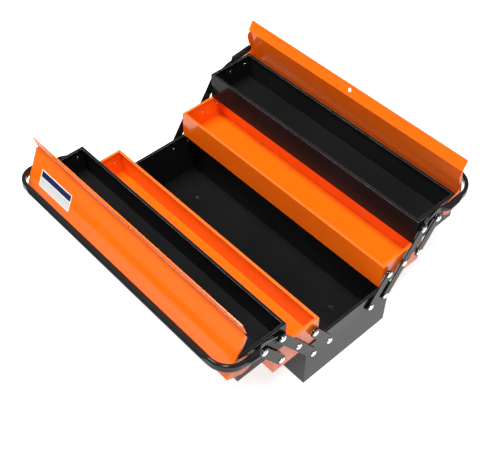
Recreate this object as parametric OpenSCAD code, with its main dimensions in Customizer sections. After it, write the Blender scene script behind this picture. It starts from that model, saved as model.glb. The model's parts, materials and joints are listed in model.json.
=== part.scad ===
// Five-compartment cantilever tool box, shown opened out.
// X runs along the box, -Y is the front, +Z is up. The origin is on the floor
// under the middle of the base tub. The rear half is drawn on the +Y side and
// the front half is its mirror image, apart from how far the lid is open.

/* [Base tub] */
// Length of the base tub over its end walls
base_l = 500; // [460:1:600]
// Width of the base tub over its long walls
base_w = 193; // [185:1:220]
// Height of the base tub's rim above the floor
base_h = 103.5; // [98:0.5:130]
// Thickness of all folded sheet steel
sheet_t = 1; // [0.8:0.1:1.4]
// Width of the flange turned inwards round every rim
rim_w = 4.8; // [4:0.1:9]
// How far the pressed feet stand below the base's floor
foot_drop = 2; // [1:0.1:2.5]
// Outer radius of a pressed foot where it leaves the floor
foot_r = 8.5; // [7:0.5:12]
// Radius of a pressed foot's flat bottom
foot_flat = 5.2; // [4:0.1:6]
// Distance of the feet from the middle, along the box
foot_x = 177; // [120:1:200]
// Distance of the feet from the middle, across the box
foot_y = 41; // [25:1:55]

/* [Trays] */
// Height of each tray
tray_h = 52.5; // [50:0.5:64]
// How far each tray end lies inside the base tub's end
tray_inset = 2; // [1.5:0.1:3]
// Gap between each closed tray and the middle plane of the box
middle_gap = 0.65; // [0.4:0.05:1.5]
// How far a closed tray's long wall lies inside the base tub's
tray_setback = 1.2; // [0.8:0.1:2.5]
// Height that a resting tray keeps above the rim below it
rest_gap = 0.5; // [0.4:0.1:1]

/* [Linkage] */
// Distance of a tray's first rivet from its inner wall
rivet_in = 12; // [11:0.5:14]
// Distance of a tray's last rivet from its outer wall
rivet_out = 10.85; // [9.5:0.05:12]
// Height of the middle trays' rivets above the tray floor
middle_rivet_h = 30.6; // [28:0.2:33]
// Height of the upper trays' rivets above the tray floor
upper_rivet_h = 32.4; // [30:0.2:34]
// Width of the flat links
link_w = 17; // [15:0.5:18]
// Thickness of the flat links
link_t = 2; // [1.5:0.1:2.5]
// Rivet shank radius
shank_r = 2.5; // [2:0.1:3]
// Radius of the rivet heads
head_r = 5.75; // [5:0.05:6]
// Radius of the spacers under the links and straps
spacer_r = 4.8; // [4.2:0.1:5]
// Thickness of the rivet heads
head_t = 2.4; // [1.8:0.1:2.8]
// Radius of the formed tails inside the trays
tail_r = 4; // [3.5:0.1:5]
// Height of the formed tails
tail_t = 1.3; // [1:0.1:2]

/* [Lids] */
// Height of a closed lid's roof above its pivots
roof_h = 26.8; // [25.5:0.1:30]
// Distance of the lid's outer edge from its pivots, also the cheek's radius
cheek_r = 18; // [15:0.5:19]
// Height of the skirt that hangs from the lid's outer edge
skirt_h = 15; // [12:0.5:20]
// Width of the ridge strip along the lid's inner edge
ridge_w = 20; // [16:0.5:24]
// Slope of the ridge strip above the closed roof
ridge_angle = 39; // [25:1:45]
// Gap between a closed lid's ridge and the middle plane, past the tray's own
ridge_gap = 1; // [0.6:0.1:3]
// Corner radius of the ridge strip's free edge
ridge_corner = 3; // [2:0.5:10]
// Width of the relief notch at either end of the ridge's fold
relief_w = 3; // [2:0.5:5]
// Depth of the same notch, along the box
relief_l = 4; // [3:0.5:6]
// Width of the free edge that is folded back under the ridge strip
hem_w = 3; // [2:0.5:4]
// Depth of the flange turned in at the lid's ends, near the ridge
end_flange_w = 6.5; // [5:0.5:7]
// Depth of the same flange where it is narrowest
slim_flange_w = 3; // [2.5:0.5:4]
// Radius of the padlock hole in the middle of each ridge strip
padlock_r = 3.5; // [3:0.25:5]
// How far the front lid leans in from upright when open
front_lean = 24.4; // [12:0.1:40]
// How far the rear lid leans in from upright when open
rear_lean = 12.4; // [12:0.1:40]

/* [Handles] */
// Outside diameter of the handle tube
tube_d = 12; // [10:0.5:13]
// Wall of the handle tube
tube_wall = 1; // [0.8:0.1:1.5]
// How far the front handle's bar lies beyond the lid's pivots, along the arms
front_bar_out = 44.2; // [40:0.1:50]
// The same for the rear handle, whose bar lies above the front one when both are up
rear_bar_out = 49.7; // [46:0.1:60]
// How far the arms stand off the line through the pivots
arm_offset = 9.5; // [9.5:0.1:12]
// Bend radius of the tube's two corners, on its centre line
corner_r = 34; // [24:1:38]
// Thickness of the tube where the corners are squeezed flatter, in the plane of the bend
corner_t = 7; // [6:0.5:10]
// Width of the tube where the corners are squeezed flatter, across that plane
corner_w = 15; // [13:0.5:16]
// Width of the flattened ends
strap_w = 15; // [14:0.5:16]
// Width of the band that arches over the neighbouring rivet
band_w = 7; // [6:0.5:9]
// Thickness of the flattened ends
strap_t = 2; // [1.6:0.1:2.4]
// Tilt of the arms above level with the handle let down
handle_tilt = 7.6; // [7:0.2:14]

/* [Fits] */
// Radial clearance of a rivet shank in a link, strap or lid
pivot_slack = 0.06; // [0.02:0.01:0.1]
// Radial clearance of a rivet shank in the wall that holds it
seat_slack = 0.02; // [0.01:0.01:0.05]
// Sideways gap between neighbours that turn on one rivet
side_play = 0.4; // [0.3:0.05:0.6]

/* [Hidden] */
$fn = 64;

FRONT = -1;
REAR = 1;
LEFT = -1;
RIGHT = 1;

// colours of the finishes
orange_paint = [0.95, 0.36, 0.05];
black_paint = [0.10, 0.10, 0.105];
bright_zinc = [0.80, 0.80, 0.82];

// trays: both sizes of opening share one tray width
tray_l = base_l - 2 * tray_inset;
tray_w = base_w / 2 - middle_gap - tray_setback;

// linkage: a tray's three rivets share the width that their two margins leave, and
// the links rise by one tray, its gap and the rivets' difference in height
link_reach = (tray_w - rivet_in - rivet_out) / 2;
link_rise = tray_h + rest_gap + upper_rivet_h - middle_rivet_h;
link_span = sqrt(link_rise * link_rise + link_reach * link_reach);
link_lean = atan(link_reach / link_rise);
rivet_pitch = link_reach;

// rivet places across the box, and heights above the floor, opened out
base_rivet_y = middle_gap + link_reach + rivet_in;
middle_tray_y = middle_gap + 2 * link_reach;
upper_tray_y = middle_gap + 4 * link_reach;
middle_tray_z = base_h + rest_gap;
upper_tray_z = middle_tray_z + tray_h + rest_gap;
base_rivet_z = middle_tray_z + middle_rivet_h - link_rise;
middle_rivet_z = middle_tray_z + middle_rivet_h;
upper_rivet_z = upper_tray_z + upper_rivet_h;
lid_pivot_y = upper_tray_y + rivet_in + 2 * rivet_pitch;
handle_pivot_y = upper_tray_y + rivet_in;

// layers outwards from a tray's end: lid cheek, handle strap, link, rivet head
tray_end_x = tray_l / 2;
base_end_x = base_l / 2;
cheek_in_x = tray_end_x + side_play;
cheek_out_x = cheek_in_x + sheet_t;
strap_in_x = cheek_out_x + side_play;
strap_out_x = strap_in_x + strap_t;
link_in_x = strap_out_x + side_play;
link_out_x = link_in_x + link_t;
arm_x = cheek_out_x + 1.6 + tube_d / 2;

// lid section: a runs from the pivots towards the ridge, b runs up
lid_pivot_s = rivet_in + 2 * rivet_pitch;
ridge_run = ridge_w * cos(ridge_angle);
bend_a = lid_pivot_s - ridge_gap - ridge_run;
notch_w = 2;
ear_fillet = 7;
slim_a = cheek_r + ear_fillet;
deep_a = slim_a + 17;

// handle: u runs along the arms, v across them
front_reach = 2 * rivet_pitch + front_bar_out;
rear_reach = 2 * rivet_pitch + rear_bar_out;
eye_r = link_w / 2;
knee_u = rivet_pitch - 2;
flat_end_u = rivet_pitch + head_r + 1.5;
round_start_u = flat_end_u + 11;
squeeze_l = 12;

// ---- placing -------------------------------------------------------------

// a shape drawn in the Y-Z plane, given a thickness along X from x_in to x_out
module sheet_yz(x_in, x_out)
    translate([x_in, 0, 0])
        rotate([90, 0, 90])
            linear_extrude(x_out - x_in) children();

// side is FRONT or REAR, end is LEFT or RIGHT
module on_side(side)
    mirror([0, side == FRONT ? 1 : 0, 0]) children();

module on_end(end)
    mirror([end == LEFT ? 1 : 0, 0, 0]) children();

module both_ends() {
    on_end(RIGHT) children();
    on_end(LEFT) children();
}

// a bar with round ends, from p to q, in two dimensions
module slab_2d(p, q, width) {
    d = q - p;
    translate(p) circle(d = width);
    translate(q) circle(d = width);
    translate(p)
        rotate(atan2(d[1], d[0]))
            translate([0, -width / 2])
                square([norm(d), width]);
}

// ---- folded sheet --------------------------------------------------------

// an open tray of folded sheet with a flange turned in round its rim
module folded_tray(length, width, height) {
    opening_l = length - 2 * rim_w;
    opening_w = width - 2 * rim_w;
    difference() {
        translate([-length / 2, 0, 0])
            cube([length, width, height]);
        translate([-length / 2 + sheet_t, sheet_t, sheet_t])
            cube([length - 2 * sheet_t, width - 2 * sheet_t, height - 2 * sheet_t]);
        translate([-opening_l / 2, rim_w, height / 2])
            cube([opening_l, opening_w, height]);
    }
}

// holes through both end walls for the rivets' shanks
module end_holes(places, length) {
    both_ends()
        for (p = places)
            translate([length / 2 - 2 * sheet_t, p[0], p[1]])
                rotate([0, 90, 0])
                    cylinder(r = shank_r + seat_slack, h = 3 * sheet_t);
}

// the pressing's rounded wall, from its flat bottom out to the floor; lift raises it
function foot_wall(lift) = [
    for (i = [0:8])
        [
            foot_flat + (foot_r - foot_flat) * i / 8,
            lift + foot_drop * (1 - cos(180 * i / 8)) / 2
        ]
];

module pressed_foot() {
    under = foot_wall(0);
    over = foot_wall(sheet_t);
    lap = 0.5;
    rotate_extrude()
        polygon(concat(
            [[0, 0]],
            under,
            [[foot_r + lap, foot_drop], [foot_r + lap, foot_drop + sheet_t]],
            [for (i = [8:-1:0]) over[i]],
            [[0, sheet_t]]
        ));
}

module at_feet()
    for (x = [-foot_x, foot_x], y = [-foot_y, foot_y])
        translate([x, y, 0]) children();

// ---- rivets --------------------------------------------------------------

// A rivet along +X: tail inside the wall, shank, and head outside the last layer.
// inner_x is the wall's inner face and head_x the underside of the head.
// Head and tail are low domes, each a quarter ellipse turned about the shank.
module rivet(inner_x, head_x) {
    grip = head_x - inner_x;
    rim = 0.3;
    steps = 7;
    profile = concat(
        [for (i = [0:steps - 3])
            let (turn = 90 * i / (steps - 2))
                [tail_r * sin(turn), -tail_t * cos(turn)]],
        [[tail_r, 0], [shank_r, 0], [shank_r, grip], [head_r, grip]],
        [for (i = [0:steps - 1])
            let (turn = 90 * i / steps)
                [head_r * cos(turn), grip + rim + (head_t - rim) * sin(turn)]],
        [[0, grip + head_t]]
    );
    translate([inner_x, 0, 0])
        rotate([0, 90, 0])
            rotate_extrude() polygon(profile);
}

module spacer(from_x, to_x)
    translate([from_x, 0, 0])
        rotate([0, 90, 0])
            difference() {
                cylinder(r = spacer_r, h = to_x - from_x);
                translate([0, 0, -1])
                    cylinder(r = shank_r + seat_slack, h = to_x - from_x + 2);
            }

// rivet places as [y, z]
function base_places() = [
    [base_rivet_y, base_rivet_z],
    [base_rivet_y + rivet_pitch, base_rivet_z]
];
function middle_places() = [
    for (i = [0:2]) [middle_tray_y + rivet_in + i * rivet_pitch, middle_rivet_z]
];
function upper_places() = [
    for (i = [0:2]) [upper_tray_y + rivet_in + i * rivet_pitch, upper_rivet_z]
];

module rivets_at(places, inner_x, head_x) {
    color(bright_zinc)
        both_ends()
            for (p = places)
                translate([0, p[0], p[1]])
                    rivet(inner_x, head_x);
}

module spacers_at(places, from_x, to_x)
    color(bright_zinc)
        both_ends()
            for (p = places)
                translate([0, p[0], p[1]])
                    spacer(from_x, to_x);

link_head_x = link_out_x + side_play / 2;
link_seat_x = link_in_x - side_play / 2;
tray_inner_x = tray_end_x - sheet_t;
base_inner_x = base_end_x - sheet_t;

// ---- base ----------------------------------------------------------------

module base_tub() {
    all_places = concat(base_places(), [for (p = base_places()) [-p[0], p[1]]]);
    color(black_paint)
        union() {
            difference() {
                translate([0, -base_w / 2, foot_drop])
                    folded_tray(base_l, base_w, base_h - foot_drop);
                at_feet()
                    cylinder(r = foot_r, h = foot_drop + 3 * sheet_t);
                end_holes(all_places, base_l);
            }
            at_feet() pressed_foot();
        }
}

module base_rivets() {
    rivets_at(base_places(), base_inner_x, link_head_x);
    on_side(FRONT) rivets_at(base_places(), base_inner_x, link_head_x);
}

module base_spacers() {
    spacers_at(base_places(), base_end_x, link_seat_x);
    on_side(FRONT) spacers_at(base_places(), base_end_x, link_seat_x);
}

// ---- trays ---------------------------------------------------------------

module middle_tray(side)
    color(orange_paint)
        on_side(side)
            difference() {
                translate([0, middle_tray_y, middle_tray_z])
                    folded_tray(tray_l, tray_w, tray_h);
                end_holes(middle_places(), tray_l);
            }

module upper_tray(side)
    color(black_paint)
        on_side(side)
            difference() {
                translate([0, upper_tray_y, upper_tray_z])
                    folded_tray(tray_l, tray_w, tray_h);
                end_holes(upper_places(), tray_l);
            }

module middle_rivets(side)
    on_side(side) rivets_at(middle_places(), tray_inner_x, link_head_x);

module middle_spacers(side)
    on_side(side) spacers_at(middle_places(), tray_end_x, link_seat_x);

// the first two upper rivets carry links, the first one also the handle
module upper_rivets(side) {
    places = [upper_places()[0], upper_places()[1]];
    on_side(side) rivets_at(places, tray_inner_x, link_head_x);
}

module upper_spacers(side)
    on_side(side) {
        spacers_at([upper_places()[0]], tray_end_x, strap_in_x - side_play / 2);
        spacers_at([upper_places()[1]], tray_end_x, link_seat_x);
    }

module lid_rivets(side)
    on_side(side) rivets_at([upper_places()[2]], tray_inner_x, cheek_out_x + side_play / 2);

// ---- links ---------------------------------------------------------------

// a flat link from a lower pivot at place, with holes a span apart
module link(place, spans, side, end)
    color(black_paint)
        on_side(side) on_end(end)
            translate([0, place[0], place[1]])
                rotate([-link_lean, 0, 0])
                    difference() {
                        sheet_yz(link_in_x, link_out_x)
                            slab_2d([0, 0], [0, spans * link_span], link_w);
                        for (i = [0:spans])
                            translate([link_in_x - 1, 0, i * link_span])
                                rotate([0, 90, 0])
                                    cylinder(r = shank_r + pivot_slack, h = link_t + 2);
                    }

module inner_link(side, end)
    link(base_places()[0], 1, side, end);

module long_link(side, end)
    link(base_places()[1], 2, side, end);

module outer_link(side, end)
    link(middle_places()[2], 1, side, end);

// ---- lids ----------------------------------------------------------------

// section of the roof and its skirt, in the lid's a-b plane with -a outwards
module roof_section() {
    translate([-cheek_r, roof_h - sheet_t])
        square([cheek_r + bend_a, sheet_t]);
    translate([-cheek_r, roof_h - skirt_h])
        square([sheet_t, skirt_h]);
}

// the inner edge of the end flange: from the ridge it narrows, then a fillet
// widens it again into the ear round the pivot
function flange_edge(steps) = concat(
    [
        for (i = [0:steps])
            let (k = (1 - cos(180 * i / steps)) / 2)
                [
                    deep_a + (slim_a - deep_a) * i / steps,
                    roof_h - end_flange_w + (end_flange_w - slim_flange_w) * k
                ]
    ],
    [
        for (i = [1:steps])
            let (turn = 90 * i / steps)
                [
                    slim_a - ear_fillet * sin(turn),
                    roof_h - slim_flange_w - ear_fillet * (1 - cos(turn))
                ]
    ]
);

// end cheek: an ear round the pivot, closed up to the roof, and the end flange
module cheek_section() {
    circle(r = cheek_r);
    polygon(concat(
        [
            [-cheek_r, 0],
            [-cheek_r, roof_h],
            [bend_a - notch_w, roof_h],
            [bend_a - notch_w - end_flange_w, roof_h - end_flange_w]
        ],
        flange_edge(10),
        [[cheek_r, 0]]
    ));
}

module ridge_strip() {
    half = cheek_out_x;
    translate([0, 0, roof_h])
        translate([0, bend_a, 0])
            rotate([ridge_angle, 0, 0])
                union() {
                    translate([-half + ridge_corner, ridge_w - hem_w, -2 * sheet_t])
                        cube([2 * (half - ridge_corner), hem_w, sheet_t + 0.1]);
                    translate([0, 0, -sheet_t])
                        linear_extrude(sheet_t)
                            difference() {
                                union() {
                                    translate([-half, -0.2])
                                        square([2 * half, ridge_w + 0.2 - ridge_corner]);
                                    translate([-half + ridge_corner, 0])
                                        square([2 * (half - ridge_corner), ridge_w]);
                                    for (x = [-1, 1])
                                        translate([x * (half - ridge_corner), ridge_w - ridge_corner])
                                            circle(r = ridge_corner);
                                }
                                translate([0, ridge_w / 2])
                                    circle(r = padlock_r);
                            }
                }
}

// the rounded slot cut in from one end of the ridge's fold, before it is bent
module relief_notch()
    translate([cheek_out_x - relief_l + relief_w / 2, bend_a - relief_w / 2, roof_h - 1.5 * sheet_t]) {
        cylinder(d = relief_w, h = 2.5 * sheet_t);
        translate([0, -relief_w / 2, 0])
            cube([relief_l, relief_w, 2.5 * sheet_t]);
    }

// one lid closed, with its pivots on the X axis, the roof running along +Y
module closed_lid() {
    difference() {
        union() {
            sheet_yz(-cheek_out_x, cheek_out_x) roof_section();
            ridge_strip();
            both_ends()
                sheet_yz(cheek_in_x, cheek_out_x) cheek_section();
        }
        both_ends() relief_notch();
        translate([-base_l, 0, 0])
            rotate([0, 90, 0])
                cylinder(r = shank_r + pivot_slack, h = 2 * base_l);
    }
}

// the lid swung up until its roof leans in by lean from upright
module lid(side, lean)
    color(orange_paint)
        on_side(side)
            translate([0, lid_pivot_y, upper_rivet_z])
                rotate([lean - 90, 0, 0])
                    mirror([0, 1, 0])
                        closed_lid();

// ---- handles -------------------------------------------------------------

// section of the squeezed corner: x across the bend, y along its axis
module corner_section()
    union() {
        square([corner_t, corner_w - corner_t], center = true);
        for (y = [-1, 1])
            translate([0, y * (corner_w - corner_t) / 2])
                circle(d = corner_t);
    }

// a thin slice of the tube, round or squeezed, drawn in the X-Y plane
module round_slice() cylinder(d = tube_d, h = 0.2, $fn = 32);
module squeezed_slice()
    linear_extrude(0.2)
        for (y = [-1, 1])
            translate([0, y * (corner_w - corner_t) / 2])
                circle(d = corner_t, $fn = 32);

// one arm, its corner and half of the bar; arms run along +Y
module tube_half(reach) {
    straight = reach - corner_r;
    bend_x = arm_x - corner_r;
    translate([0, 0, arm_offset]) {
        difference() {
            translate([arm_x, round_start_u, 0])
                rotate([-90, 0, 0])
                    cylinder(d = tube_d, h = straight - squeeze_l - round_start_u);
            translate([arm_x, round_start_u + 1, 0])
                rotate([-90, 0, 0])
                    cylinder(d = tube_d - 2 * tube_wall, h = straight - squeeze_l - round_start_u - 2);
        }
        hull() {
            translate([arm_x, straight - squeeze_l - 0.1, 0])
                rotate([-90, 0, 0]) round_slice();
            translate([arm_x, straight - 0.1, 0])
                rotate([-90, 0, 0]) squeezed_slice();
        }
        translate([bend_x, straight, 0])
            rotate_extrude(angle = 90)
                translate([corner_r, 0]) corner_section();
        hull() {
            translate([bend_x + 0.1, reach, 0])
                rotate([0, -90, 0])
                    rotate([0, 0, 90]) squeezed_slice();
            translate([bend_x - squeeze_l + 0.1, reach, 0])
                rotate([0, -90, 0]) round_slice();
        }
        difference() {
            translate([0, reach, 0])
                rotate([0, 90, 0])
                    cylinder(d = tube_d, h = bend_x - squeeze_l);
            translate([-1, reach, 0])
                rotate([0, 90, 0])
                    cylinder(d = tube_d - 2 * tube_wall, h = bend_x - squeeze_l);
        }
    }
}

// the squeezed length between the round tube and its flattened end
module tube_neck() {
    plate_end = 0.5;
    hull() {
        translate([arm_x, round_start_u, arm_offset])
            rotate([-90, 0, 0])
                cylinder(d = tube_d, h = plate_end, $fn = 32);
        translate([strap_in_x, flat_end_u, arm_offset - strap_w / 2 + 0.5])
            cube([strap_t, plate_end, strap_w - 1]);
    }
}

// the flattened end: an eye, a band arching over the next rivet, and a straight length
module strap() {
    arch_r = strap_w - band_w;
    difference() {
        sheet_yz(strap_in_x, strap_out_x) {
            circle(r = eye_r);
            difference() {
                union() {
                    slab_2d([0, 0], [knee_u, arm_offset], strap_w);
                    translate([knee_u, arm_offset - strap_w / 2])
                        square([flat_end_u - knee_u + 0.5, strap_w]);
                }
                slab_2d(
                    [eye_r + arch_r + 1, arm_offset - strap_w / 2 - 1],
                    [flat_end_u - 2 - arch_r, arm_offset - strap_w / 2 - 0.5],
                    2 * arch_r
                );
            }
        }
        translate([strap_in_x - 1, 0, 0])
            rotate([0, 90, 0])
                cylinder(r = shank_r + pivot_slack, h = strap_t + 2);
    }
}

module handle(side, reach)
    color(black_paint)
        on_side(side)
            translate([0, handle_pivot_y, upper_rivet_z])
                rotate([handle_tilt, 0, 0])
                    both_ends() {
                        tube_half(reach);
                        tube_neck();
                        strap();
                    }

// ---- parts ---------------------------------------------------------------

base_tub();
base_rivets();
base_spacers();
middle_tray(FRONT);  // front_middle_tray
middle_rivets(FRONT);  // front_middle_rivets
middle_spacers(FRONT);  // front_middle_spacers
upper_tray(FRONT);  // front_upper_tray
upper_rivets(FRONT);  // front_upper_rivets
upper_spacers(FRONT);  // front_upper_spacers
inner_link(FRONT, LEFT);  // front_inner_link_left
inner_link(FRONT, RIGHT);  // front_inner_link_right
long_link(FRONT, LEFT);  // front_long_link_left
long_link(FRONT, RIGHT);  // front_long_link_right
outer_link(FRONT, LEFT);  // front_outer_link_left
outer_link(FRONT, RIGHT);  // front_outer_link_right
lid(FRONT, front_lean);  // front_lid
lid_rivets(FRONT);  // front_lid_rivets
handle(FRONT, front_reach);  // front_handle
middle_tray(REAR);  // rear_middle_tray
middle_rivets(REAR);  // rear_middle_rivets
middle_spacers(REAR);  // rear_middle_spacers
upper_tray(REAR);  // rear_upper_tray
upper_rivets(REAR);  // rear_upper_rivets
upper_spacers(REAR);  // rear_upper_spacers
inner_link(REAR, LEFT);  // rear_inner_link_left
inner_link(REAR, RIGHT);  // rear_inner_link_right
long_link(REAR, LEFT);  // rear_long_link_left
long_link(REAR, RIGHT);  // rear_long_link_right
outer_link(REAR, LEFT);  // rear_outer_link_left
outer_link(REAR, RIGHT);  // rear_outer_link_right
lid(REAR, rear_lean);  // rear_lid
lid_rivets(REAR);  // rear_lid_rivets
handle(REAR, rear_reach);  // rear_handle
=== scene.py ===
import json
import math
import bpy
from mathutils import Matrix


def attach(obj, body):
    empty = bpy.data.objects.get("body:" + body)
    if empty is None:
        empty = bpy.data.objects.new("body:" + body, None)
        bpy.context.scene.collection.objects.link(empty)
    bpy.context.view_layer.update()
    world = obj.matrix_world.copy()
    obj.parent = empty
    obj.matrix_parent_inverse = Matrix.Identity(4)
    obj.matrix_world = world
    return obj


bl_info = {
    "name": "Cantilever Tool Box",
    "version": (1, 0, 0),
    "blender": (4, 5, 0),
    "location": "3D View > Sidebar > Tool Box",
    "description": (
        "Finishes a five-tray steel tool box: powder-coated trays and lids, enamelled tub and handles, "
        "bright rivets, a blank label and its studio"
    ),
    "category": "Object",
}

from typing import NamedTuple

import bmesh
import bpy
from mathutils import Matrix, Vector

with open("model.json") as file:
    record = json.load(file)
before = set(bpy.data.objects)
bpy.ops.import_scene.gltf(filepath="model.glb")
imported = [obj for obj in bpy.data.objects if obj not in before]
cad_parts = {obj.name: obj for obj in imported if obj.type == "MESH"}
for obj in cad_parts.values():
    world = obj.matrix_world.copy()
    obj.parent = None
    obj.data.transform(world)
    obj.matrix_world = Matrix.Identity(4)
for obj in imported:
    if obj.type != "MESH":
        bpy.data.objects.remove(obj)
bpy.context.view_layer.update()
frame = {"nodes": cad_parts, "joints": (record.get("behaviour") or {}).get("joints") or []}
NODES = frame["nodes"]
JOINTS = {joint["name"]: joint for joint in frame["joints"]}

WHITE = (1.0, 1.0, 1.0, 1.0)
EVERYWHERE = -1.0  # a height under the whole box


# --------------------------------------------------------------------------
# Finishes, label parts and lamps
# --------------------------------------------------------------------------


class Finish(NamedTuple):
    """How one kind of part is sprayed"""

    name: str
    drift: float  # how far the colour drifts towards its second tone
    gloss: tuple  # roughness where untouched, and where rubbed
    shine: float  # specular level
    highlight_strength: float = 0.0  # how strongly the edges above a height are lightened, a painted highlight


# the last number of each finish is the strength of its painted edge highlight
TUB_FINISH = Finish("Black tub enamel", 0.5, (0.07, 0.12), 0.17, 0.8)
UPPER_TRAY_FINISH = Finish("Satin black enamel", 0.5, (0.14, 0.22), 0.09, 1.0)
LINK_FINISH = Finish("Black link enamel", 0.5, (0.11, 0.19), 0.15)
HANDLE_FINISH = Finish("Black tube enamel", 0.3, (0.04, 0.08), 0.22)
MIDDLE_TRAY_FINISH = Finish("Orange powder coat, trays", 0.35, (0.19, 0.27), 0.5, 0.9)
LID_FINISH = Finish("Orange powder coat, lids", 0.35, (0.19, 0.27), 0.32, 0.25)

ORANGE_RUBBING = 0.3
BLACK_RUBBING = 0.4
ORANGE_PEEL_SHARE = 0.6  # of the full orange peel
BLACK_PEEL_SHARE = 0.4
RIM_DEPTH = 0.0012  # how far below its top a tray's rim carries the painted highlight
PLATE_RIPPLE = 0.000006

WELD_DISTANCE = 0.000005
FLAT_ANGLE = 0.4  # degrees, under which neighbouring triangles are one panel
EDGE_ANGLE = 40.0  # degrees, over which an edge is rounded
LID_EDGE_ANGLE = 50.0  # leaves the shallow fold of the ridge strip crisp
EDGE_SEGMENTS = 2

LABEL_GLOSS = (0.3, 0.42)
LABEL_TEXTURE = 0.000008
LABEL_COLOURS = (
    ("Label white", (0.82, 0.82, 0.81), (0.74, 0.74, 0.73)),
    ("Label dark blue", (0.006, 0.012, 0.075), (0.01, 0.018, 0.095)),
    ("Label pale field", (0.62, 0.62, 0.60), (0.54, 0.54, 0.52)),
)
LABEL_MARGIN = 0.065  # shares of the label's height
LABEL_BAND = 0.34
CARRIER_THICKNESS = 0.00018
CARRIER_CORNER = 0.0016
PRINT_THICKNESS = 0.00003
PRINT_CORNER = 0.0006
CORNER_SEGMENTS = 4
LID_FACE_DISTANCE = 0.0268  # from the lid's pivot straight out to its outer face
LABEL_RISE = 0.0227  # from the lid's pivot up its face to the middle of the label
LABEL_GAP = 0.00002


class Softbox(NamedTuple):
    """One rectangular lamp, aimed at a point over the middle of the box"""

    name: str
    place: tuple
    aim_height: float
    size: tuple
    watts: float
    mirrored: bool = True  # whether gloss shows it


SOFTBOXES = (
    Softbox("Overhead softbox left", (-0.45, -0.45, 2.2), 0.10, (0.45, 0.7), 31.0),
    Softbox("Overhead softbox right", (0.75, -0.45, 2.2), 0.10, (0.45, 0.7), 31.0),
    Softbox("Right softbox", (1.5, -1.9, 1.5), 0.12, (1.0, 1.2), 10.0),
    # a matt fill: its mirror image in the corners of the trays is left out
    Softbox("Left softbox", (-0.85, -1.12, 1.95), 0.12, (0.45, 0.45), 16.0, mirrored=False),
)
# height of a direction, and the grey that gloss sees there
SURROUND_GLOSS = ((0.0, 0.10), (0.35, 0.45), (1.0, 0.85))

FLOOR_RADIUS = 9.0
FLOOR_DROP = 0.0002
FLOOR_GREY = 0.72
FLOOR_GLOSS_GLOW = 0.8
# from and to a distance on the floor, then the value at each
FLOOR_GLOW = (0.45, 1.1, 0.75, 1.05)  # strength of the glow for the camera
DARK_ROOM = (0.75, 1.25, 0.0, 1.0)  # share of the dark room that gloss sees
DARK_ROOM_GREY = 0.08

SENSOR_WIDTH = 36.0
NEAREST, FARTHEST = 0.05, 60.0


# --------------------------------------------------------------------------
# Sizes and colours a user may change
# --------------------------------------------------------------------------


def colour_property(name, description, default):
    return bpy.props.FloatVectorProperty(
        name=name, description=description, subtype="COLOR", size=3, min=0.0, max=1.0, default=default
    )


def length_property(name, description, default, **limits):
    return bpy.props.FloatProperty(
        name=name, description=description, subtype="DISTANCE", unit="LENGTH", default=default, **limits
    )


class PaintSettings(bpy.types.PropertyGroup):
    """Finishes of the sheet steel, the rivets and the label"""

    orange: colour_property("Orange", "Powder coat of the middle trays and the lids", (0.97, 0.150, 0.0038))
    orange_deep: colour_property(
        "Deep orange", "Powder coat where it lies thicker, in folds and corners", (0.94, 0.125, 0.0030)
    )
    black: colour_property(
        "Black", "Enamel of the tub, upper trays, links and handles", (0.0080, 0.0082, 0.0083)
    )
    black_worn: colour_property(
        "Rubbed black", "Enamel where hands and tools have rubbed it", (0.0130, 0.0133, 0.0135)
    )
    # painted highlight: lighter colours on rims and folded edges, standing in for light catching them
    orange_edge_highlight: colour_property(
        "Orange edge highlight",
        "Painted highlight on rims and folded edges, a paler orange where light catches them",
        (1.0, 0.38, 0.12),
    )
    black_edge_highlight: colour_property(
        "Black edge highlight",
        "Painted highlight on rims and folded edges, a light grey where light catches them",
        (0.30, 0.30, 0.30),
    )
    # reach of the painted edge highlight
    edge_width: length_property(
        "Edge width",
        "How far from an edge the painted highlight reaches",
        0.0007,
        min=0.0001,
        max=0.003,
        precision=5,
    )
    plate: colour_property("Bright plate", "Plated rivets", (0.72, 0.72, 0.73))
    peel: length_property(
        "Orange peel",
        "Height of the ripple that powder coat dries with",
        0.00002,
        min=0.0,
        max=0.001,
        precision=6,
    )


class FormSettings(bpy.types.PropertyGroup):
    """Sizes of the folds and of the label"""

    fold_radius: length_property(
        "Edge radius",
        "Rounding of the sheet's cut and folded edges under the paint",
        0.0004,
        min=0.0001,
        max=0.0006,
        precision=5,
    )
    front_lean: bpy.props.FloatProperty(
        name="Front lid lean",
        description="How far the open front lid leans in from upright, in degrees",
        min=0.0,
        max=45.0,
        default=90.0 - JOINTS["front_lid_close"]["range_deg"][1],
    )
    label_length: length_property(
        "Label length", "Length of the blank label along the lid", 0.082, min=0.02, max=0.15
    )
    label_height: length_property(
        "Label height", "Height of the blank label up the lid", 0.031, min=0.01, max=0.05
    )
    label_centre: length_property(
        "Label place", "Where the middle of the label lies along the lid", -0.1815
    )


class StageSettings(bpy.types.PropertyGroup):
    """Camera, lamps and backdrop"""

    azimuth: bpy.props.FloatProperty(
        name="Azimuth",
        description="Turn of the camera round the box, in degrees",
        default=46.587,
    )
    elevation: bpy.props.FloatProperty(
        name="Elevation",
        description="Height of the camera over the horizon, in degrees",
        default=48.234,
    )
    roll: bpy.props.FloatProperty(
        name="Roll",
        description="Tilt of the camera about its own axis, in degrees",
        default=0.991,
    )
    place: bpy.props.FloatVectorProperty(
        name="Camera place",
        description="Where the camera stands",
        subtype="TRANSLATION",
        unit="LENGTH",
        size=3,
        default=(0.754258, -0.698637, 1.253150),
    )
    lens: bpy.props.FloatProperty(
        name="Lens",
        description="Focal length in millimetres on a 36 mm wide sensor",
        min=20.0,
        max=200.0,
        default=64.47,
    )
    surround: bpy.props.FloatProperty(
        name="Surround",
        description="Strength of the even light from all round",
        min=0.0,
        max=2.0,
        default=0.14,
    )


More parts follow.
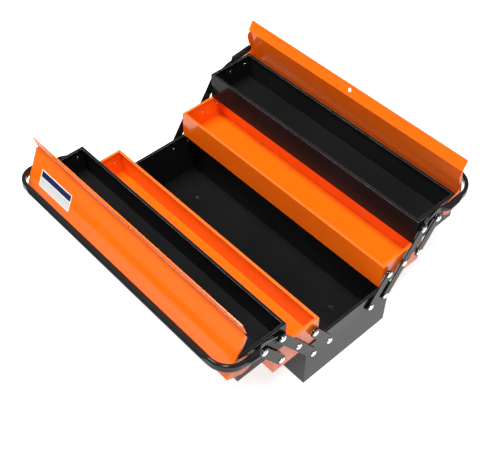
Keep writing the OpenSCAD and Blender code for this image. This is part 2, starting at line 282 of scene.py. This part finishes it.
def paint_settings():
    return bpy.context.scene.toolbox_paint


def form_settings():
    return bpy.context.scene.toolbox_form


def stage_settings():
    return bpy.context.scene.toolbox_stage


# --------------------------------------------------------------------------
# Shader nodes
# --------------------------------------------------------------------------


def feed(tree, source, socket):
    """Links a socket to another node's output, or gives it a plain value"""
    if isinstance(source, bpy.types.NodeSocket):
        tree.links.new(source, socket)
    else:
        socket.default_value = source


def add_node(tree, kind, place=(0, 0)):
    node = tree.nodes.new(kind)
    node.location = place
    return node


def add_maths(tree, operation, *sources, place=(0, 0)):
    """A maths node fed with outputs or numbers; gives its result"""
    node = add_node(tree, "ShaderNodeMath", place)
    node.operation = operation
    for source, socket in zip(sources, node.inputs):
        feed(tree, source, socket)
    return node.outputs["Value"]


def add_noise(tree, coordinates, scale, detail, place):
    """Noise on those coordinates, as a value"""
    node = add_node(tree, "ShaderNodeTexNoise", place)
    node.inputs["Scale"].default_value = scale
    node.inputs["Detail"].default_value = detail
    tree.links.new(coordinates, node.inputs["Vector"])
    return node.outputs["Fac"]


def add_range(tree, source, low, high, to_low, to_high, place):
    """Maps a value from one range onto another"""
    node = add_node(tree, "ShaderNodeMapRange", place)
    node.inputs["From Min"].default_value = low
    node.inputs["From Max"].default_value = high
    node.inputs["To Min"].default_value = to_low
    node.inputs["To Max"].default_value = to_high
    tree.links.new(source, node.inputs["Value"])
    return node.outputs["Result"]


def add_colour_mix(tree, factor, first, second, place):
    node = add_node(tree, "ShaderNodeMix", place)
    node.data_type = "RGBA"
    feed(tree, factor, node.inputs["Factor"])
    feed(tree, first, node.inputs[6])
    feed(tree, second, node.inputs[7])
    return node.outputs[2]


def add_value_mix(tree, factor, first, second, place):
    node = add_node(tree, "ShaderNodeMix", place)
    node.data_type = "FLOAT"
    feed(tree, factor, node.inputs["Factor"])
    feed(tree, first, node.inputs[2])
    feed(tree, second, node.inputs[3])
    return node.outputs[0]


def add_shader_mix(tree, factor, first, second):
    node = add_node(tree, "ShaderNodeMixShader")
    tree.links.new(factor, node.inputs["Fac"])
    tree.links.new(first, node.inputs[1])
    tree.links.new(second, node.inputs[2])
    return node.outputs["Shader"]


def object_place(tree, place):
    """Where a point lies on its own object, so a finish moves with its part"""
    return add_node(tree, "ShaderNodeTexCoord", place).outputs["Object"]


def new_group(name, inputs, outputs):
    """A shader node group with named sockets and its two end nodes"""
    group = bpy.data.node_groups.new(name, "ShaderNodeTree")
    for label, kind, value in inputs:
        socket = group.interface.new_socket(name=label, in_out="INPUT", socket_type=kind)
        socket.default_value = value
    for label, kind in outputs:
        group.interface.new_socket(name=label, in_out="OUTPUT", socket_type=kind)
    start = add_node(group, "NodeGroupInput", (-900, 0))
    end = add_node(group, "NodeGroupOutput", (700, 0))
    return group, start, end


def sprayed_group():
    """Sprayed paint: drifting thickness, fine orange peel and rubbed patches"""
    known = bpy.data.node_groups.get("Sprayed paint")
    if known:
        return known
    group, start, end = new_group(
        "Sprayed paint",
        [
            ("Paint", "NodeSocketColor", WHITE),
            ("Second tone", "NodeSocketColor", WHITE),
            ("Drift", "NodeSocketFloat", 0.5),
            ("Gloss low", "NodeSocketFloat", 0.25),
            ("Gloss high", "NodeSocketFloat", 0.4),
            ("Rubbing", "NodeSocketFloat", 0.3),
        ],
        [
            ("Colour", "NodeSocketColor"),
            ("Roughness", "NodeSocketFloat"),
            ("Height", "NodeSocketFloat"),
        ],
    )
    where = object_place(group, (-900, -300))
    cloud = add_noise(group, where, 9.0, 3.0, (-650, 300))
    spread = add_range(group, cloud, 0.35, 0.68, 0.0, 1.0, (-430, 300))
    drift = add_maths(group, "MULTIPLY", spread, start.outputs["Drift"], place=(-200, 300))
    tone = add_colour_mix(group, drift, start.outputs["Paint"], start.outputs["Second tone"], (20, 260))
    group.links.new(tone, end.inputs["Colour"])

    # rubbed patches: long soft smears along the box
    stretch = add_node(group, "ShaderNodeMapping", (-700, -100))
    stretch.inputs["Scale"].default_value = (12.0, 30.0, 30.0)
    group.links.new(where, stretch.inputs["Vector"])
    smear = add_noise(group, stretch.outputs["Vector"], 1.0, 5.0, (-480, -100))
    patches = add_range(group, smear, 0.5, 0.75, 0.0, 1.0, (-260, -100))
    rub = add_maths(group, "MULTIPLY", patches, start.outputs["Rubbing"], place=(-60, -60))
    rough = add_value_mix(group, rub, start.outputs["Gloss low"], start.outputs["Gloss high"], (160, -40))
    group.links.new(rough, end.inputs["Roughness"])

    # orange peel: two sizes of ripple
    fine = add_noise(group, where, 900.0, 2.0, (-480, -420))
    coarse = add_noise(group, where, 330.0, 1.0, (-480, -620))
    ripple = add_maths(group, "MULTIPLY_ADD", fine, 0.35, coarse, place=(-200, -480))
    group.links.new(ripple, end.inputs["Height"])
    return group


def edge_highlight_group():
    """Painted highlight: a lighter colour along the sharp edges that lie above a height, broken up by noise
    """
    known = bpy.data.node_groups.get("Painted edge highlight")
    if known:
        return known
    group, start, end = new_group(
        "Painted edge highlight",
        [
            ("Paint", "NodeSocketColor", WHITE),
            ("Edge", "NodeSocketColor", WHITE),
            ("Amount", "NodeSocketFloat", 0.5),
            ("Width", "NodeSocketFloat", 0.0007),
            ("Above", "NodeSocketFloat", EVERYWHERE),
        ],
        [("Colour", "NodeSocketColor")],
    )
    # an edge is near where the rounded normal turns away from the flat one
    rounded = add_node(group, "ShaderNodeBevel", (-650, 200))
    rounded.samples = 6
    group.links.new(start.outputs["Width"], rounded.inputs["Radius"])
    flat = add_node(group, "ShaderNodeNewGeometry", (-650, 0))
    turn = add_node(group, "ShaderNodeVectorMath", (-430, 120))
    turn.operation = "DOT_PRODUCT"
    group.links.new(rounded.outputs["Normal"], turn.inputs[0])
    group.links.new(flat.outputs["Normal"], turn.inputs[1])
    near = add_range(group, turn.outputs["Value"], 0.995, 0.90, 0.0, 1.0, (-220, 120))

    where = object_place(group, (-650, -250))
    patches = add_noise(group, where, 22.0, 4.0, (-430, -250))
    uneven = add_range(group, patches, 0.35, 0.62, 0.55, 1.0, (-220, -250))
    split = add_node(group, "ShaderNodeSeparateXYZ", (-430, -480))
    group.links.new(where, split.inputs["Vector"])
    high = add_maths(
        group, "GREATER_THAN", split.outputs["Z"], start.outputs["Above"], place=(-220, -480)
    )
    share = add_maths(group, "MULTIPLY", near, uneven)
    held = add_maths(group, "MULTIPLY", share, high, place=(100, -200))
    amount = add_maths(group, "MULTIPLY", held, start.outputs["Amount"], place=(180, 0))
    # painted highlight: the edge colour is mixed in near edges above the height
    tone = add_colour_mix(group, amount, start.outputs["Paint"], start.outputs["Edge"], (380, 120))
    group.links.new(tone, end.inputs["Colour"])
    return group


def plated_group():
    """Plated metal with a faint cloudy haze and shallow dents"""
    known = bpy.data.node_groups.get("Plated metal")
    if known:
        return known
    group, start, end = new_group(
        "Plated metal",
        [
            ("Plate", "NodeSocketColor", (0.85, 0.85, 0.87, 1.0)),
            ("Tarnish", "NodeSocketColor", (0.6, 0.58, 0.55, 1.0)),
            ("Haze low", "NodeSocketFloat", 0.06),
            ("Haze high", "NodeSocketFloat", 0.2),
        ],
        [("Colour", "NodeSocketColor"), ("Roughness", "NodeSocketFloat"), ("Height", "NodeSocketFloat")],
    )
    where = object_place(group, (-900, -300))
    cloud = add_noise(group, where, 260.0, 3.0, (-600, 100))
    spots = add_range(group, cloud, 0.5, 0.75, 0.0, 1.0, (-380, 100))
    tone = add_colour_mix(group, spots, start.outputs["Plate"], start.outputs["Tarnish"], (-120, 180))
    group.links.new(tone, end.inputs["Colour"])
    haze = add_value_mix(group, spots, start.outputs["Haze low"], start.outputs["Haze high"], (-120, -60))
    group.links.new(haze, end.inputs["Roughness"])
    dents = add_noise(group, where, 500.0, 1.0, (-380, -320))
    group.links.new(dents, end.inputs["Height"])
    return group


# --------------------------------------------------------------------------
# Materials
# --------------------------------------------------------------------------


def four(colour):
    return (colour[0], colour[1], colour[2], 1.0)


def bare_tree(owner):
    """Turns a material's or a world's nodes on and clears them"""
    owner.use_nodes = True
    owner.node_tree.nodes.clear()
    return owner.node_tree


def new_material(name):
    """A node material with one Principled BSDF"""
    material = bpy.data.materials.new(name)
    tree = bare_tree(material)
    output = add_node(tree, "ShaderNodeOutputMaterial", (500, 0))
    shader = add_node(tree, "ShaderNodeBsdfPrincipled", (200, 0))
    tree.links.new(shader.outputs["BSDF"], output.inputs["Surface"])
    return material, tree, shader


def place_group(tree, group, values, place=(-250, 0)):
    node = add_node(tree, "ShaderNodeGroup", place)
    node.node_tree = group
    for label, value in values.items():
        feed(tree, value, node.inputs[label])
    return node


def add_bump(tree, height, shader, distance, strength):
    bump = add_node(tree, "ShaderNodeBump", (0, -300))
    bump.inputs["Strength"].default_value = strength
    bump.inputs["Distance"].default_value = distance
    tree.links.new(height, bump.inputs["Height"])
    tree.links.new(bump.outputs["Normal"], shader.inputs["Normal"])


def sprayed_material(finish, colour, second, rubbing, peel, edge=None, above=EVERYWHERE):
    """Sprayed paint in two tones, with a painted highlight on its edges above a height if it has an edge
    colour
    """
    known = bpy.data.materials.get(finish.name)
    if known:
        return known
    material, tree, shader = new_material(finish.name)
    node = place_group(
        tree,
        sprayed_group(),
        {
            "Paint": four(colour),
            "Second tone": four(second),
            "Drift": finish.drift,
            "Gloss low": finish.gloss[0],
            "Gloss high": finish.gloss[1],
            "Rubbing": rubbing,
        },
    )
    tone = node.outputs["Colour"]
    if edge is not None:
        # painted highlight on the rims and folded edges
        edge_highlight_inputs = {
            "Paint": tone,
            "Edge": four(edge),
            "Amount": finish.highlight_strength,
            "Width": paint_settings().edge_width,
            "Above": above,
        }
        tone = place_group(tree, edge_highlight_group(), edge_highlight_inputs, (-30, 260)).outputs["Colour"]
    tree.links.new(tone, shader.inputs["Base Color"])
    tree.links.new(node.outputs["Roughness"], shader.inputs["Roughness"])
    shader.inputs["Specular IOR Level"].default_value = finish.shine
    add_bump(tree, node.outputs["Height"], shader, peel, 1.0)
    return material


def rim_of(name):
    """Height just under the rim of a tray or the tub, so only its rim carries the painted highlight"""
    return max(corner[2] for corner in NODES[name].bound_box) - RIM_DEPTH


def orange_powder(finish, above=EVERYWHERE):
    paint = paint_settings()
    peel = paint.peel * ORANGE_PEEL_SHARE
    return sprayed_material(
        finish, paint.orange, paint.orange_deep, ORANGE_RUBBING, peel, paint.orange_edge_highlight, above
    )


def black_enamel(finish, above=EVERYWHERE):
    paint = paint_settings()
    peel = paint.peel * BLACK_PEEL_SHARE
    # painted highlight on the rims, where the finish has one
    edge = paint.black_edge_highlight if finish.highlight_strength else None
    return sprayed_material(finish, paint.black, paint.black_worn, BLACK_RUBBING, peel, edge, above)


def bright_plate():
    known = bpy.data.materials.get("Bright plate")
    if known:
        return known
    material, tree, shader = new_material("Bright plate")
    node = place_group(tree, plated_group(), {"Plate": four(paint_settings().plate)})
    shader.inputs["Metallic"].default_value = 1.0
    tree.links.new(node.outputs["Colour"], shader.inputs["Base Color"])
    tree.links.new(node.outputs["Roughness"], shader.inputs["Roughness"])
    add_bump(tree, node.outputs["Height"], shader, PLATE_RIPPLE, 0.5)
    return material


def label_material(name, colour, second):
    return sprayed_material(Finish(name, 0.5, LABEL_GLOSS, 0.4), colour, second, 0.4, LABEL_TEXTURE)


# --------------------------------------------------------------------------
# Finishing the CAD pieces
# --------------------------------------------------------------------------


def coat(node_object, material):
    """Gives a CAD node one material in every slot"""
    mesh = node_object.data
    if not mesh.materials:
        mesh.materials.append(material)
    for slot in node_object.material_slots:
        slot.material = material


def soften(node_object, edge_angle):
    """Joins a CAD node's triangles, rounds edges sharper than an angle if one is given, evens its shading"""
    weld = node_object.modifiers.new("Weld", "WELD")
    weld.merge_threshold = WELD_DISTANCE
    panels = node_object.modifiers.new("Flat panels", "DECIMATE")
    panels.decimate_type = "DISSOLVE"
    panels.angle_limit = math.radians(FLAT_ANGLE)
    if edge_angle is not None:
        bevel = node_object.modifiers.new("Edge radius", "BEVEL")
        bevel.width = form_settings().fold_radius
        bevel.segments = EDGE_SEGMENTS
        bevel.limit_method = "ANGLE"
        bevel.angle_limit = math.radians(edge_angle)
        bevel.use_clamp_overlap = True
    shading = node_object.modifiers.new("Even shading", "WEIGHTED_NORMAL")
    shading.mode = "FACE_AREA"
    shading.weight = 50
    shading.keep_sharp = False


def finish_nodes(names, material, edge_angle=EDGE_ANGLE):
    for name in names:
        coat(NODES[name], material)
        soften(NODES[name], edge_angle)


def nodes_with(word):
    return [name for name in NODES if word in name]


class TOOLBOX_OT_tub(bpy.types.Operator):
    """Enamels the base tub"""

    bl_idname = "toolbox.tub"
    bl_label = "Base tub"

    def execute(self, context):
        finish_nodes(["base_tub"], black_enamel(TUB_FINISH, rim_of("base_tub")))
        return {"FINISHED"}


class TOOLBOX_OT_trays(bpy.types.Operator):
    """Coats the two middle trays orange and the two upper trays black"""

    bl_idname = "toolbox.trays"
    bl_label = "Trays"

    def execute(self, context):
        orange = orange_powder(MIDDLE_TRAY_FINISH, rim_of("front_middle_tray"))
        black = black_enamel(UPPER_TRAY_FINISH, rim_of("front_upper_tray"))
        finish_nodes(nodes_with("middle_tray"), orange)
        finish_nodes(nodes_with("upper_tray"), black)
        return {"FINISHED"}


class TOOLBOX_OT_lids(bpy.types.Operator):
    """Coats the two lids orange"""

    bl_idname = "toolbox.lids"
    bl_label = "Lids"

    def execute(self, context):
        finish_nodes(["front_lid", "rear_lid"], orange_powder(LID_FINISH), LID_EDGE_ANGLE)
        return {"FINISHED"}


class TOOLBOX_OT_links(bpy.types.Operator):
    """Enamels the flat links at both ends"""

    bl_idname = "toolbox.links"
    bl_label = "Links"

    def execute(self, context):
        finish_nodes(nodes_with("_link_"), black_enamel(LINK_FINISH))
        return {"FINISHED"}


class TOOLBOX_OT_handles(bpy.types.Operator):
    """Enamels the two tube handles"""

    bl_idname = "toolbox.handles"
    bl_label = "Handles"

    def execute(self, context):
        finish_nodes(["front_handle", "rear_handle"], black_enamel(HANDLE_FINISH))
        return {"FINISHED"}


class TOOLBOX_OT_rivets(bpy.types.Operator):
    """Plates the rivets and the spacers under the links"""

    bl_idname = "toolbox.rivets"
    bl_label = "Rivets"

    def execute(self, context):
        finish_nodes(nodes_with("rivets") + nodes_with("spacers"), bright_plate(), edge_angle=None)
        return {"FINISHED"}


# --------------------------------------------------------------------------
# Blank label on the front lid
# --------------------------------------------------------------------------


def lid_face_matrix():
    """Local frame on the front lid's outer face: x along the box, y up the lid, z outwards"""
    pivot = Vector(JOINTS["front_lid_close"]["pos_m"])
    lean = math.radians(form_settings().front_lean)
    up = Vector((0.0, math.sin(lean), math.cos(lean)))
    out = Vector((0.0, -math.cos(lean), math.sin(lean)))
    origin = pivot + out * LID_FACE_DISTANCE
    origin.x = 0.0
    rotation = Matrix((Vector((1.0, 0.0, 0.0)), up, out)).transposed().to_4x4()
    return Matrix.Translation(origin) @ rotation


def label_plate(bm, size, height, lift, thickness, corner, material):
    """A thin round-cornered plate in the X-Y plane, its middle at a height up Y, thick along Z"""
    plate = bmesh.new()
    bmesh.ops.create_grid(plate, x_segments=1, y_segments=1, size=0.5)
    bmesh.ops.scale(plate, vec=(size[0], size[1], 1.0), verts=plate.verts)
    bmesh.ops.bevel(
        plate,
        geom=list(plate.verts),
        offset=corner,
        segments=CORNER_SEGMENTS,
        profile=0.5,
        affect="VERTICES",
        material=-1,
    )
    grown = bmesh.ops.extrude_face_region(plate, geom=list(plate.faces))
    raised = [part for part in grown["geom"] if isinstance(part, bmesh.types.BMVert)]
    bmesh.ops.translate(plate, vec=(0.0, 0.0, thickness), verts=raised)
    bmesh.ops.translate(plate, vec=(0.0, height, lift), verts=plate.verts)
    for face in plate.faces:
        face.material_index = material
    sheet = bpy.data.meshes.new("label_plate")
    plate.to_mesh(sheet)
    plate.free()
    bm.from_mesh(sheet)
    bpy.data.meshes.remove(sheet)


class TOOLBOX_OT_label(bpy.types.Operator):
    """Makes the blank label on the front lid"""

    bl_idname = "toolbox.label"
    bl_label = "Blank label"

    def execute(self, context):
        form = form_settings()
        length, height = form.label_length, form.label_height
        margin = height * LABEL_MARGIN
        band = height * LABEL_BAND
        field = height - band - 3.0 * margin
        printed = length - 2.0 * margin
        mesh = bpy.data.meshes.new("blank_label")
        piece = bpy.data.objects.new("blank_label", mesh)
        context.collection.objects.link(piece)
        bm = bmesh.new()
        # a white carrier with a dark header band and a pale field printed on it
        label_plate(bm, (length, height), 0.0, 0.0, CARRIER_THICKNESS, CARRIER_CORNER, 0)
        for material, tall, middle in (
            (1, band, (height - band) / 2.0 - margin),
            (2, field, (field - height) / 2.0 + margin),
        ):
            label_plate(
                bm, (printed, tall), middle, CARRIER_THICKNESS, PRINT_THICKNESS, PRINT_CORNER, material
            )
        offset = Matrix.Translation((form.label_centre, LABEL_RISE, LABEL_GAP))
        bmesh.ops.transform(bm, matrix=lid_face_matrix() @ offset, verts=bm.verts)
        bmesh.ops.recalc_face_normals(bm, faces=bm.faces)
        bm.to_mesh(mesh)
        bm.free()
        for name, colour, second in LABEL_COLOURS:
            mesh.materials.append(label_material(name, colour, second))
        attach(piece, "front_lid_body")
        return {"FINISHED"}


# --------------------------------------------------------------------------
# Stage: floor, camera, lamps and surround
# --------------------------------------------------------------------------


def area_lamp(box):
    data = bpy.data.lights.new(box.name, "AREA")
    data.shape = "RECTANGLE"
    data.size, data.size_y = box.size
    data.energy = box.watts
    lamp = bpy.data.objects.new(box.name, data)
    bpy.context.collection.objects.link(lamp)
    lamp.location = box.place
    lamp.rotation_mode = "QUATERNION"
    aim = Vector((0.0, 0.0, box.aim_height)) - Vector(box.place)
    lamp.rotation_quaternion = aim.to_track_quat("-Z", "Y")
    lamp.visible_glossy = box.mirrored


def add_glow(tree, grey, strength):
    """An emission of a grey at a strength; gives its shader"""
    node = add_node(tree, "ShaderNodeEmission")
    node.inputs["Color"].default_value = (grey, grey, grey, 1.0)
    feed(tree, strength, node.inputs["Strength"])
    return node.outputs["Emission"]


def floor_material():
    """White table: matt, with a glow for the camera and for gloss; far off, gloss sees a dark room"""
    material = bpy.data.materials.new("White sweep")
    tree = bare_tree(material)
    output = add_node(tree, "ShaderNodeOutputMaterial")
    rays = add_node(tree, "ShaderNodeLightPath")
    reach = add_node(tree, "ShaderNodeVectorMath")
    reach.operation = "LENGTH"
    tree.links.new(object_place(tree, (0, 0)), reach.inputs[0])
    distance = reach.outputs["Value"]

    matt = add_node(tree, "ShaderNodeBsdfDiffuse")
    matt.inputs["Color"].default_value = (FLOOR_GREY, FLOOR_GREY, FLOOR_GREY, 1.0)
    white = add_range(tree, distance, *FLOOR_GLOW, (0, 300))
    shown = add_maths(tree, "MULTIPLY", rays.outputs["Is Camera Ray"], white)
    strength = add_maths(tree, "MULTIPLY_ADD", rays.outputs["Is Glossy Ray"], FLOOR_GLOSS_GLOW, shown)
    table = add_node(tree, "ShaderNodeAddShader")
    tree.links.new(matt.outputs["BSDF"], table.inputs[0])
    tree.links.new(add_glow(tree, 1.0, strength), table.inputs[1])

    beyond = add_range(tree, distance, *DARK_ROOM, (0, -300))
    unlit = add_maths(tree, "MULTIPLY", beyond, rays.outputs["Is Glossy Ray"])
    room = add_glow(tree, DARK_ROOM_GREY, 1.0)
    blend = add_shader_mix(tree, unlit, table.outputs["Shader"], room)
    tree.links.new(blend, output.inputs["Surface"])
    return material


def add_background(tree, colour, strength):
    node = add_node(tree, "ShaderNodeBackground")
    feed(tree, colour, node.inputs["Color"])
    node.inputs["Strength"].default_value = strength
    return node.outputs["Background"]


def surround_world(strength):
    """Even surround: white to the camera, a soft gradient to gloss, plain light to the rest"""
    world = bpy.data.worlds.new("Studio surround")
    bpy.context.scene.world = world
    tree = bare_tree(world)
    output = add_node(tree, "ShaderNodeOutputWorld")
    rays = add_node(tree, "ShaderNodeLightPath")
    place = add_node(tree, "ShaderNodeTexCoord")
    split = add_node(tree, "ShaderNodeSeparateXYZ")
    tree.links.new(place.outputs["Generated"], split.inputs["Vector"])
    ramp = add_node(tree, "ShaderNodeValToRGB")
    stops = ramp.color_ramp.elements
    while len(stops) < len(SURROUND_GLOSS):
        stops.new(0.5)
    for stop, (height, grey) in zip(stops, SURROUND_GLOSS):
        stop.position = height
        stop.color = (grey, grey, grey, 1.0)
    tree.links.new(split.outputs["Z"], ramp.inputs["Fac"])
    plain = add_background(tree, WHITE, strength)
    gloss = add_background(tree, ramp.outputs["Color"], 1.0)
    white = add_background(tree, WHITE, 1.0)
    seen = add_shader_mix(tree, rays.outputs["Is Glossy Ray"], plain, gloss)
    seen = add_shader_mix(tree, rays.outputs["Is Camera Ray"], seen, white)
    tree.links.new(seen, output.inputs["Surface"])


def studio_floor(collection):
    mesh = bpy.data.meshes.new("studio_floor")
    floor = bpy.data.objects.new("studio_floor", mesh)
    collection.objects.link(floor)
    bm = bmesh.new()
    bmesh.ops.create_circle(bm, cap_ends=True, segments=96, radius=FLOOR_RADIUS)
    bmesh.ops.translate(bm, vec=(0.0, 0.0, -FLOOR_DROP), verts=bm.verts)
    bm.to_mesh(mesh)
    bm.free()
    mesh.materials.append(floor_material())


def studio_camera(scene, collection, stage):
    data = bpy.data.cameras.new("Camera")
    camera = bpy.data.objects.new("Camera", data)
    collection.objects.link(camera)
    turn, rise = math.radians(stage.azimuth), math.radians(stage.elevation)
    back = Vector((math.sin(turn) * math.cos(rise), -math.cos(turn) * math.cos(rise), math.sin(rise)))
    right = Vector((0.0, 0.0, 1.0)).cross(back).normalized()
    upright = back.cross(right)
    rotation = Matrix((right, upright, back)).transposed()
    rotation = rotation @ Matrix.Rotation(math.radians(stage.roll), 3, "Z")
    camera.matrix_world = Matrix.Translation(Vector(stage.place)) @ rotation.to_4x4()
    data.sensor_fit = "HORIZONTAL"
    data.sensor_width = SENSOR_WIDTH
    data.lens = stage.lens
    data.clip_start, data.clip_end = NEAREST, FARTHEST
    scene.camera = camera


class TOOLBOX_OT_stage(bpy.types.Operator):
    """Makes the floor, the surround, the lamps and the camera"""

    bl_idname = "toolbox.stage"
    bl_label = "Stage"

    def execute(self, context):
        stage = stage_settings()
        context.scene.view_settings.view_transform = "Standard"
        studio_floor(context.collection)
        surround_world(stage.surround)
        for box in SOFTBOXES:
            area_lamp(box)
        studio_camera(context.scene, context.collection, stage)
        return {"FINISHED"}


# --------------------------------------------------------------------------
# Panel, registering and running
# --------------------------------------------------------------------------

STEPS = (
    TOOLBOX_OT_stage,
    TOOLBOX_OT_tub,
    TOOLBOX_OT_trays,
    TOOLBOX_OT_lids,
    TOOLBOX_OT_links,
    TOOLBOX_OT_handles,
    TOOLBOX_OT_rivets,
    TOOLBOX_OT_label,
)


class TOOLBOX_PT_panel(bpy.types.Panel):
    """Lists the settings and the steps that finish the tool box"""

    bl_idname = "TOOLBOX_PT_panel"
    bl_label = "Tool box"
    bl_space_type = "VIEW_3D"
    bl_region_type = "UI"
    bl_category = "Tool Box"

    def draw(self, context):
        layout = self.layout
        for settings in (paint_settings(), form_settings(), stage_settings()):
            box = layout.box()
            for name in type(settings).__annotations__:
                box.prop(settings, name)
        for step in STEPS:
            layout.operator(step.bl_idname)


CLASSES = (PaintSettings, FormSettings, StageSettings, *STEPS, TOOLBOX_PT_panel)


def register():
    for cls in CLASSES:
        bpy.utils.register_class(cls)
    bpy.types.Scene.toolbox_paint = bpy.props.PointerProperty(type=PaintSettings)
    bpy.types.Scene.toolbox_form = bpy.props.PointerProperty(type=FormSettings)
    bpy.types.Scene.toolbox_stage = bpy.props.PointerProperty(type=StageSettings)


def unregister():
    del bpy.types.Scene.toolbox_stage
    del bpy.types.Scene.toolbox_form
    del bpy.types.Scene.toolbox_paint
    for cls in reversed(CLASSES):
        bpy.utils.unregister_class(cls)


def main():
    register()
    bpy.ops.toolbox.stage()
    bpy.ops.toolbox.tub()
    bpy.ops.toolbox.trays()
    bpy.ops.toolbox.lids()
    bpy.ops.toolbox.links()
    bpy.ops.toolbox.handles()
    bpy.ops.toolbox.rivets()
    bpy.ops.toolbox.label()


if __name__ == "__main__":
    main()
